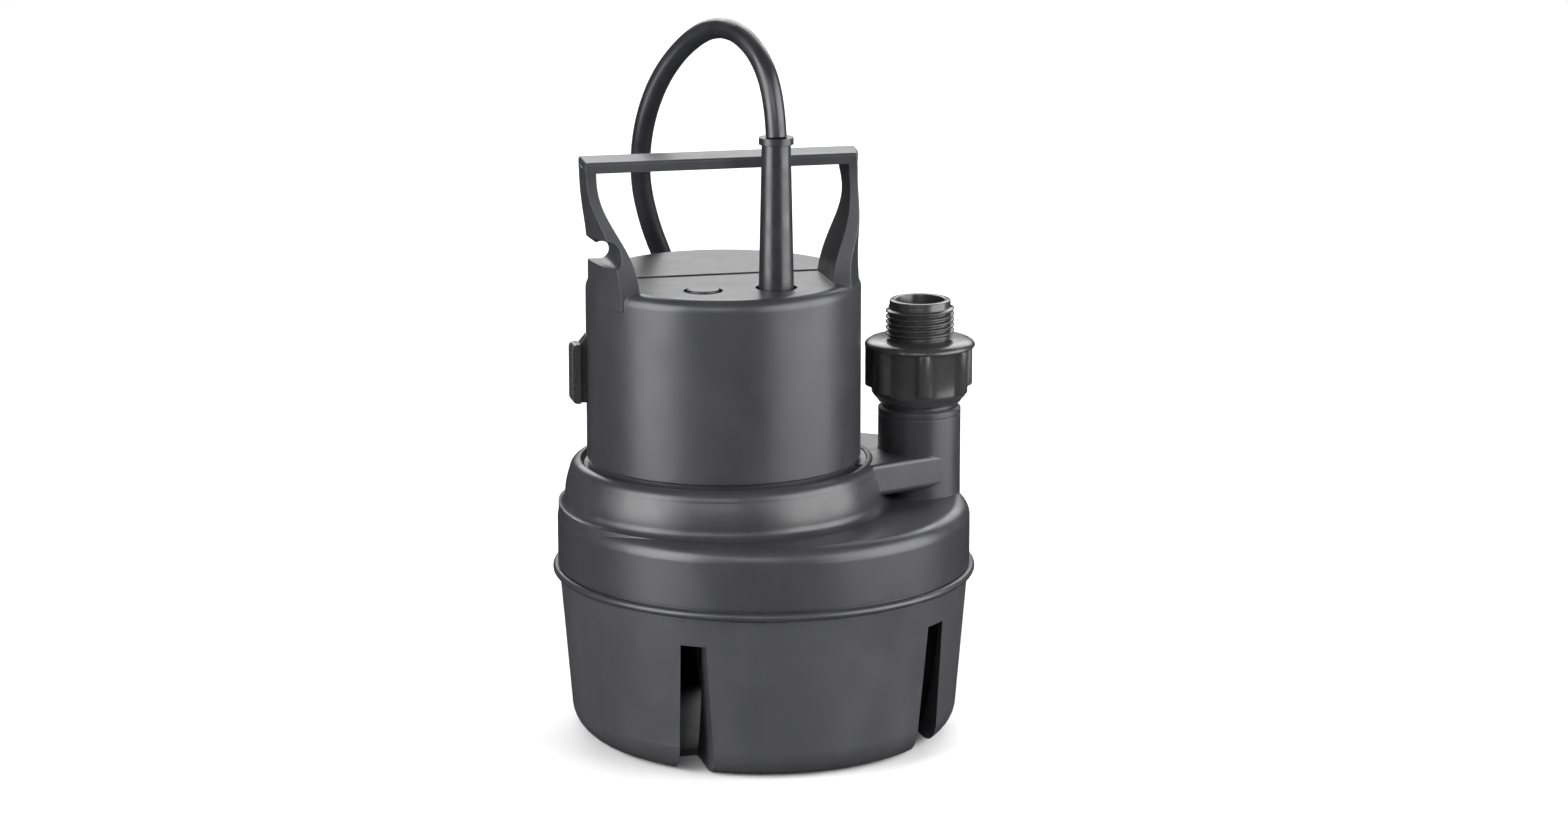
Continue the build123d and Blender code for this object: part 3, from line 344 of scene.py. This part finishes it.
def tie_path():
    """Points round the band and over its own end, each with its outward direction."""
    middle = (TIE_LOW + TIE_HIGH) / 2
    half_z = (TIE_HIGH - TIE_LOW) / 2
    corners = [(1, 1), (1, -1), (-1, -1), (-1, 1)]
    path = []
    for index, (side, up) in enumerate(corners):
        first = math.pi / 2 - index * math.pi / 2
        for step in range(TIE_CORNER_STEPS + 1):
            angle = first - step / TIE_CORNER_STEPS * math.pi / 2
            outward = (math.cos(angle), math.sin(angle))
            centre = (side * (TIE_HALF_X - TIE_CORNER), up * (half_z - TIE_CORNER))
            path.append((centre[0] + TIE_CORNER * outward[0],
                         middle + centre[1] + TIE_CORNER * outward[1], outward))
    for step in range(1, TIE_OVERLAP_STEPS + 1):
        along = step / TIE_OVERLAP_STEPS * TIE_OVERLAP
        height = TIE_HIGH + TIE_LIFT * ease(along, 0.0, TIE_LIFT_LENGTH)
        path.append((-TIE_HALF_X + TIE_CORNER + 1.2 + along, height, (0.0, 1.0)))
    return path


def make_tie():
    """A woven band round the coil, with rounded edges and a lapped end."""
    half_wide, half_thick = TIE_WIDE / 2, TIE_THICK / 2
    upper = [(inset - half_wide, share) for inset, share in TIE_EDGE] + [(0.0, 1.0)]
    upper += [(half_wide - inset, share) for inset, share in reversed(TIE_EDGE)]
    section = upper + [(across, -share) for across, share in reversed(upper[1:-1])]
    rows = []
    for x, z, outward in tie_path():
        rows.append([((TIE_X + x + outward[0] * share * half_thick) * MM, (TIE_Y + across) * MM,
                      (z + outward[1] * share * half_thick) * MM) for across, share in section])
    mesh = tube_mesh("coil_tie_band", rows)
    smooth(mesh, 50)
    return link("coil_tie_band", mesh, "root")


coil_tie_band = make_tie()
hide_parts("cord_tie")


# ---- materials -------------------------------------------------------------------------
class Finish:
    """A node material in the making, with short calls for the nodes that the finishes share."""

    def __init__(self, name):
        self.material = bpy.data.materials.new(name)
        self.material.use_nodes = True
        self.tree = self.material.node_tree
        self.shader = self.tree.nodes["Principled BSDF"]
        self.place = self.node("ShaderNodeTexCoord").outputs["Object"]

    def node(self, kind, **settings):
        made = self.tree.nodes.new(kind)
        for key, value in settings.items():
            setattr(made, key, value)
        return made

    def join(self, source, target):
        self.tree.links.new(source, target)

    def stretched(self, scale):
        """The object's coordinates, scaled differently along X, Y and Z."""
        mapping = self.node("ShaderNodeMapping")
        mapping.inputs["Scale"].default_value = scale
        self.join(self.place, mapping.inputs["Vector"])
        return mapping.outputs["Vector"]

    def noise(self, scale, detail=3.0, place=None, distortion=0.0):
        """Noise from 0 to 1; scale is in cells per metre."""
        made = self.node("ShaderNodeTexNoise")
        made.inputs["Scale"].default_value = scale
        made.inputs["Detail"].default_value = detail
        made.inputs["Distortion"].default_value = distortion
        self.join(place or self.place, made.inputs["Vector"])
        return made.outputs["Fac"]

    def bands(self, scale, direction, distortion=0.0):
        """Parallel bands from 0 to 1 across one axis."""
        made = self.node("ShaderNodeTexWave", bands_direction=direction)
        made.inputs["Scale"].default_value = scale
        made.inputs["Distortion"].default_value = distortion
        self.join(self.place, made.inputs["Vector"])
        return made.outputs["Fac"]

    def ramp(self, value, low, high, start=0.3, end=0.7):
        """Two colours blended between two values."""
        made = self.node("ShaderNodeValToRGB")
        made.color_ramp.elements[0].position = start
        made.color_ramp.elements[0].color = (*low, 1.0)
        made.color_ramp.elements[1].position = end
        made.color_ramp.elements[1].color = (*high, 1.0)
        self.join(value, made.inputs["Fac"])
        return made.outputs["Color"]

    def spread(self, value, low, high, start=0.3, end=0.7):
        """A value spread over another range."""
        made = self.node("ShaderNodeMapRange")
        for key, number in (("From Min", start), ("From Max", end), ("To Min", low), ("To Max", high)):
            made.inputs[key].default_value = number
        self.join(value, made.inputs["Value"])
        return made.outputs["Result"]

    def maths(self, operation, first, second):
        """One operation on a value and a value or number."""
        made = self.node("ShaderNodeMath", operation=operation)
        for socket, value in zip(made.inputs, (first, second)):
            if isinstance(value, (int, float)):
                socket.default_value = value
            else:
                self.join(value, socket)
        return made.outputs[0]

    def mixed(self, share, first, second):
        """The first colour where share is 0, the second where it is 1."""
        made = self.node("ShaderNodeMix", data_type="RGBA")
        self.join(share, made.inputs["Factor"])
        for socket, colour in ((made.inputs[6], first), (made.inputs[7], second)):
            if isinstance(colour, tuple):
                socket.default_value = (*colour, 1.0)
            else:
                self.join(colour, socket)
        return made.outputs[2]

    def rounded_normal(self, radius):
        """The surface's normal, with its edges rounded to this radius."""
        made = self.node("ShaderNodeBevel", samples=6)
        made.inputs["Radius"].default_value = radius
        return made.outputs["Normal"]

    def edges(self, radius):
        """1 along edges and 0 on open faces."""
        plain = self.node("ShaderNodeNewGeometry").outputs["Normal"]
        made = self.node("ShaderNodeVectorMath", operation="DOT_PRODUCT")
        self.join(plain, made.inputs[0])
        self.join(self.rounded_normal(radius), made.inputs[1])
        return self.spread(made.outputs["Value"], 1.0, 0.0, 0.86, 0.985)

    def bump(self, height, distance, strength=1.0, normal=None):
        """A bump on top of an optional normal."""
        made = self.node("ShaderNodeBump")
        made.inputs["Distance"].default_value = distance
        made.inputs["Strength"].default_value = strength
        self.join(height, made.inputs["Height"])
        if normal is not None:
            self.join(normal, made.inputs["Normal"])
        return made.outputs["Normal"]

    def set(self, **values):
        """Sockets of the shader by name, with _ for a space: a number, a colour or a link."""
        for key, value in values.items():
            socket = self.shader.inputs[key.replace("_", " ")]
            if isinstance(value, (int, float)):
                socket.default_value = value
            elif isinstance(value, tuple):
                socket.default_value = (*value, 1.0)
            else:
                self.join(value, socket)
        return self.material


def scaled(colour, factor):
    """A colour made lighter or darker."""
    return tuple(min(1.0, channel * factor) for channel in colour)


def moulded(name, colour, rough, grain=0.000012, round_edges=0.0005, seam=False):
    """Injection-moulded plastic: fine spark texture, faint flow marks, a painted highlight along
    rounded edges, patchy like rubbed wear.
    """
    look = Finish(name)
    cloud = look.noise(38.0, 4.0, look.stretched((1.0, 1.0, 0.35)), 0.6)
    colour_now = look.ramp(cloud, scaled(colour, 0.86), scaled(colour, 1.14))
    speck = look.noise(5200.0, 1.0)
    colour_now = look.mixed(look.spread(speck, 0.0, 0.16, 0.55, 0.8), colour_now,
                            scaled(colour, 1.9))
    # Paler edges: a painted highlight along the rounded edges, broken up by noise like rubbed wear.
    edge_highlight_and_wear = look.maths("MULTIPLY", look.edges(0.0007), look.noise(260.0, 3.0))
    colour_now = look.mixed(look.maths("MULTIPLY", edge_highlight_and_wear, 0.55), colour_now, scaled(colour, 2.6))
    rough_now = look.spread(look.noise(75.0, 3.0), rough - 0.05, rough + 0.06)
    spark = look.noise(3400.0, 2.0)
    normal = look.bump(spark, grain, 1.0, look.rounded_normal(round_edges))
    swell = look.noise(55.0, 2.0)
    normal = look.bump(swell, 0.00012, 0.5, normal)
    if seam:
        line = seam_line(look)
        colour_now = look.mixed(line, colour_now, scaled(colour, 0.08))
        normal = look.bump(look.maths("SUBTRACT", 1.0, line), 0.0002, 0.9, normal)
    return look.set(Base_Color=colour_now, Roughness=rough_now, Normal=normal, IOR=1.5)


SEAM_HALF = 0.00028            # half the parting line's width
STUB_SIDE_X = 0.0467           # the outlet stub is whole, with no seam, beyond this
DUCT_LOW_Z = 0.0965
TOP_FACE_Z = 0.1835            # the handle above is whole


def seam_line(look):
    """1 on the parting line between the two shells, at y = 0."""
    parts = look.node("ShaderNodeSeparateXYZ")
    look.join(look.place, parts.inputs[0])
    x, y, z = parts.outputs
    facing = look.node("ShaderNodeSeparateXYZ")
    look.join(look.node("ShaderNodeTexCoord").outputs["Normal"], facing.inputs[0])
    near = look.spread(look.maths("ABSOLUTE", y, 0.0), 1.0, 0.0, SEAM_HALF * 0.7, SEAM_HALF * 1.3)
    sideways = look.maths("LESS_THAN", look.maths("ABSOLUTE", facing.outputs[1], 0.0), 0.6)
    split = look.maths("MAXIMUM", look.maths("LESS_THAN", x, STUB_SIDE_X),
                       look.maths("LESS_THAN", z, DUCT_LOW_Z))
    below = look.maths("LESS_THAN", z, TOP_FACE_Z)
    return look.maths("MULTIPLY", look.maths("MULTIPLY", near, sideways),
                      look.maths("MULTIPLY", split, below))


def rubber(name, colour, rough, grain=0.000015):
    """Moulded or extruded rubber: fine grain, a little dust, a waxy patchy sheen."""
    look = Finish(name)
    cloud = look.noise(60.0, 4.0)
    colour_now = look.ramp(cloud, scaled(colour, 0.8), scaled(colour, 1.25))
    dust = look.spread(look.noise(900.0, 3.0), 0.0, 0.22, 0.55, 0.85)
    colour_now = look.mixed(dust, colour_now, scaled(colour, 2.4))
    rough_now = look.spread(look.noise(140.0, 3.0), rough - 0.07, rough + 0.08)
    normal = look.bump(look.noise(1800.0, 2.0), grain, 1.0, look.rounded_normal(0.0003))
    normal = look.bump(look.noise(120.0, 2.0), 0.0001, 0.4, normal)
    return look.set(Base_Color=colour_now, Roughness=rough_now, Normal=normal, IOR=1.52)


def metal(name, colour, rough, brush=(1.0, 1.0, 30.0), stain=(0.5, 0.45, 0.4), stained=0.25):
    """Worked metal: tool marks along one direction, tarnish in patches, brighter edges."""
    look = Finish(name)
    marks = look.noise(420.0, 4.0, look.stretched(brush))
    colour_now = look.ramp(marks, scaled(colour, 0.8), scaled(colour, 1.12))
    patches = look.spread(look.noise(110.0, 5.0), 0.0, stained, 0.5, 0.75)
    tarnish = tuple(a * b for a, b in zip(colour, stain))
    colour_now = look.mixed(patches, colour_now, tarnish)
    colour_now = look.mixed(look.edges(0.0004), colour_now, scaled(colour, 1.25))
    rough_now = look.spread(marks, rough - 0.08, rough + 0.1)
    normal = look.bump(marks, 0.00003, 0.7, look.rounded_normal(0.0003))
    return look.set(Base_Color=colour_now, Roughness=rough_now, Normal=normal, Metallic=1.0)


def laminated(name):
    """A stack of electrical-steel sheets, seen on its edges as fine lines along Z."""
    look = Finish(name)
    sheets = look.bands(620.0, "Z", 0.4)
    blued = look.ramp(look.noise(90.0, 4.0), (0.19, 0.2, 0.24), (0.34, 0.33, 0.32))
    colour_now = look.mixed(look.spread(sheets, 0.0, 0.75, 0.7, 0.95), blued, (0.03, 0.03, 0.035))
    normal = look.bump(sheets, 0.00006, 0.8, look.rounded_normal(0.0002))
    rough_now = look.spread(look.noise(300.0, 3.0), 0.32, 0.55)
    return look.set(Base_Color=colour_now, Roughness=rough_now, Normal=normal, Metallic=0.85)


def wound(name):
    """Enamelled copper wire, laid in close turns and varnished."""
    look = Finish(name)
    strands = look.bands(480.0, "DIAGONAL", 2.5)
    copper = look.ramp(strands, (0.16, 0.04, 0.015), (0.66, 0.25, 0.09), 0.15, 0.75)
    varnish = look.spread(look.noise(180.0, 4.0), 0.0, 0.5, 0.5, 0.75)
    colour_now = look.mixed(varnish, copper, (0.22, 0.09, 0.03))
    normal = look.bump(strands, 0.0003, 0.8)
    rough_now = look.spread(look.noise(500.0, 2.0), 0.22, 0.4)
    return look.set(Base_Color=colour_now, Roughness=rough_now, Normal=normal, Metallic=0.7,
                    Coat_Weight=0.5, Coat_Roughness=0.2)


def woven(name, colour):
    """Nylon webbing: crossed yarns, a slightly furry surface."""
    look = Finish(name)
    warp = look.bands(900.0, "Y")
    weft = look.bands(700.0, "X")
    climb = look.bands(700.0, "Z")
    weave = look.maths("MAXIMUM", warp, look.maths("MULTIPLY", weft, climb))
    colour_now = look.ramp(weave, scaled(colour, 0.45), scaled(colour, 1.5), 0.1, 0.9)
    fluff = look.spread(look.noise(2600.0, 4.0), 0.0, 0.3, 0.5, 0.8)
    colour_now = look.mixed(fluff, colour_now, scaled(colour, 2.4))
    normal = look.bump(weave, 0.00025, 0.9)
    normal = look.bump(look.noise(3000.0, 3.0), 0.00006, 0.6, normal)
    rough_now = look.spread(weave, 0.78, 0.62)
    return look.set(Base_Color=colour_now, Roughness=rough_now, Normal=normal,
                    Sheen_Weight=0.35, Sheen_Roughness=0.5)


def fired(name, colour, rough, speck_colour):
    """Sintered seal-face material: fine specks, lapped face, small pores."""
    look = Finish(name)
    cloud = look.ramp(look.noise(240.0, 4.0), scaled(colour, 0.93), scaled(colour, 1.05))
    pores = look.spread(look.noise(4200.0, 2.0), 0.0, 0.6, 0.6, 0.78)
    colour_now = look.mixed(pores, cloud, speck_colour)
    normal = look.bump(look.noise(4200.0, 2.0), 0.00001, 0.6, look.rounded_normal(0.0003))
    rough_now = look.spread(look.noise(900.0, 3.0), rough - 0.05, rough + 0.08)
    return look.set(Base_Color=colour_now, Roughness=rough_now, Normal=normal, IOR=1.6)


HOUSING_COLOUR = (0.026, 0.026, 0.0285)
FINISHES = {
    "housing_plastic": moulded("housing_plastic", HOUSING_COLOUR, 0.36),
    "adapter_plastic": moulded("adapter_plastic", (0.030, 0.030, 0.031), 0.26, 0.000006),
    "inner_plastic": moulded("inner_plastic", (0.085, 0.085, 0.088), 0.48),
    "washer_plastic": moulded("washer_plastic", (0.62, 0.60, 0.54), 0.38, 0.000006, 0.0003),
    "capacitor_case": moulded("capacitor_case", (0.045, 0.062, 0.12), 0.34, 0.000006),
    "protector_case": moulded("protector_case", (0.16, 0.024, 0.018), 0.44, 0.00001),
    "cord_jacket": rubber("cord_jacket", (0.013, 0.013, 0.015), 0.34, 0.00001),
    "seal_rubber": rubber("seal_rubber", (0.016, 0.016, 0.016), 0.62),
    "lead_insulation": rubber("lead_insulation", (0.45, 0.05, 0.035), 0.45, 0.000008),
    "screw_steel": metal("screw_steel", (0.63, 0.62, 0.60), 0.30, (1.0, 1.0, 12.0)),
    "brass": metal("brass", (0.80, 0.60, 0.28), 0.26, (25.0, 1.0, 1.0), (0.6, 0.5, 0.4)),
    "bronze": metal("bronze", (0.58, 0.38, 0.20), 0.42, (1.0, 1.0, 22.0), (0.5, 0.4, 0.35), 0.4),
    "cast_aluminium": metal("cast_aluminium", (0.74, 0.75, 0.77), 0.45, (1.0, 1.0, 1.0)),
    "lamination_steel": laminated("lamination_steel"),
    "copper_winding": wound("copper_winding"),
    "tie_nylon": woven("tie_nylon", (0.018, 0.018, 0.02)),
    "ceramic": fired("ceramic", (0.86, 0.84, 0.78), 0.16, (0.5, 0.48, 0.44)),
    "carbon": fired("carbon", (0.035, 0.035, 0.037), 0.34, (0.11, 0.11, 0.115)),
}
SEAMED_SHELL = moulded("seamed_housing_plastic", HOUSING_COLOUR, 0.36, seam=True)
BASE_PLASTIC_PAINTED_LIGHTER = moulded("base_plastic_painted_lighter", (0.037, 0.037, 0.0395), 0.38)   # paler than the housing plastic: painted light, for the base lit more from the floor


def dress(piece, material):
    """Give a piece one material in place of whatever it has."""
    piece.data.materials.clear()
    piece.data.materials.append(material)


for subpart in frame["record"]["subparts"]:
    node = NODES[subpart["node"]]
    dress(node, FINISHES[subpart["material_slot"]])
for shell in ("front_shell", "rear_shell"):
    dress(NODES[shell], SEAMED_SHELL)
# The base's paler plastic is painted light: it stands in for light reaching the base from the floor.
dress(NODES["strainer_base"], BASE_PLASTIC_PAINTED_LIGHTER)
dress(mains_lead, FINISHES["cord_jacket"])
dress(moulded_plug, FINISHES["cord_jacket"])
dress(threaded_adapter, FINISHES["adapter_plastic"])
dress(coil_tie_band, FINISHES["tie_nylon"])


# ---- studio ----------------------------------------------------------------------------
FLOOR_HALF = 9.0
FLOOR_DROP = 0.0002            # keeps the floor just clear of what stands on it
AIM = Vector((0.0, 0.0, 0.13))
CAMERA_AZIMUTH = math.atan2(CAMERA_PLACE.y, CAMERA_PLACE.x)
ROOM_LOW, ROOM_HIGH = 0.6, 1.5        # the room's brightness below and above the table
ROOM_BLEND = (-0.05, 0.2)             # the band of heights over which it changes


def make_floor():
    """A plain pale floor, faintly mottled."""
    half = FLOOR_HALF
    mesh = bpy.data.meshes.new("floor")
    mesh.from_pydata([(-half, -half, 0), (half, -half, 0), (half, half, 0), (-half, half, 0)], [],
                     [(0, 1, 2, 3)])
    floor = bpy.data.objects.new("floor", mesh)
    bpy.context.scene.collection.objects.link(floor)
    floor.location.z = -FLOOR_DROP
    look = Finish("pale_floor")
    tone = look.ramp(look.noise(1.5, 2.0), (0.93, 0.93, 0.93), (0.96, 0.96, 0.96))
    dress(floor, look.set(Base_Color=tone, Roughness=0.9, Specular_IOR_Level=0.1))
    floor.visible_glossy = False   # gloss shows the darker room below the table instead


def soft_light(name, place, size, power):
    """A large rectangular softbox pointing at the middle of the pump."""
    data = bpy.data.lights.new(name, "AREA")
    data.shape = "RECTANGLE"
    data.size, data.size_y = size
    data.energy = power
    lamp = bpy.data.objects.new(name, data)
    bpy.context.scene.collection.objects.link(lamp)
    lamp.location = place
    lamp.rotation_mode = "QUATERNION"
    lamp.rotation_quaternion = (AIM - place).to_track_quat("-Z", "Y")


def beside(degrees, distance, height):
    """A place at an angle round the pump from the camera; positive is to the right."""
    angle = CAMERA_AZIMUTH + math.radians(degrees)
    return Vector((distance * math.cos(angle), distance * math.sin(angle), height))


def make_room():
    """The room: dim below the table's level and bright above it."""
    world = bpy.data.worlds.new("studio")
    bpy.context.scene.world = world
    world.use_nodes = True
    nodes, links = world.node_tree.nodes, world.node_tree.links
    height = nodes.new("ShaderNodeSeparateXYZ")
    links.new(nodes.new("ShaderNodeTexCoord").outputs["Generated"], height.inputs[0])
    level = nodes.new("ShaderNodeMapRange")
    keys = ("From Min", "From Max", "To Min", "To Max")
    for key, number in zip(keys, (*ROOM_BLEND, ROOM_LOW, ROOM_HIGH)):
        level.inputs[key].default_value = number
    level.interpolation_type = "SMOOTHSTEP"
    links.new(height.outputs[2], level.inputs["Value"])
    links.new(level.outputs["Result"], nodes["Background"].inputs["Strength"])


make_floor()
soft_light("top_box", beside(175, 1.9, 1.5), (2.6, 1.6), 56.0)
soft_light("front_box", beside(-5, 2.6, 1.5), (1.6, 1.2), 22.0)
soft_light("left_box", beside(-58, 1.5, 0.5), (1.2, 1.5), 46.0)
soft_light("right_box", beside(72, 1.5, 0.5), (1.9, 1.5), 56.0)
make_room()
bpy.context.scene.view_settings.view_transform = "Standard"

bpy.context.view_layer.update()
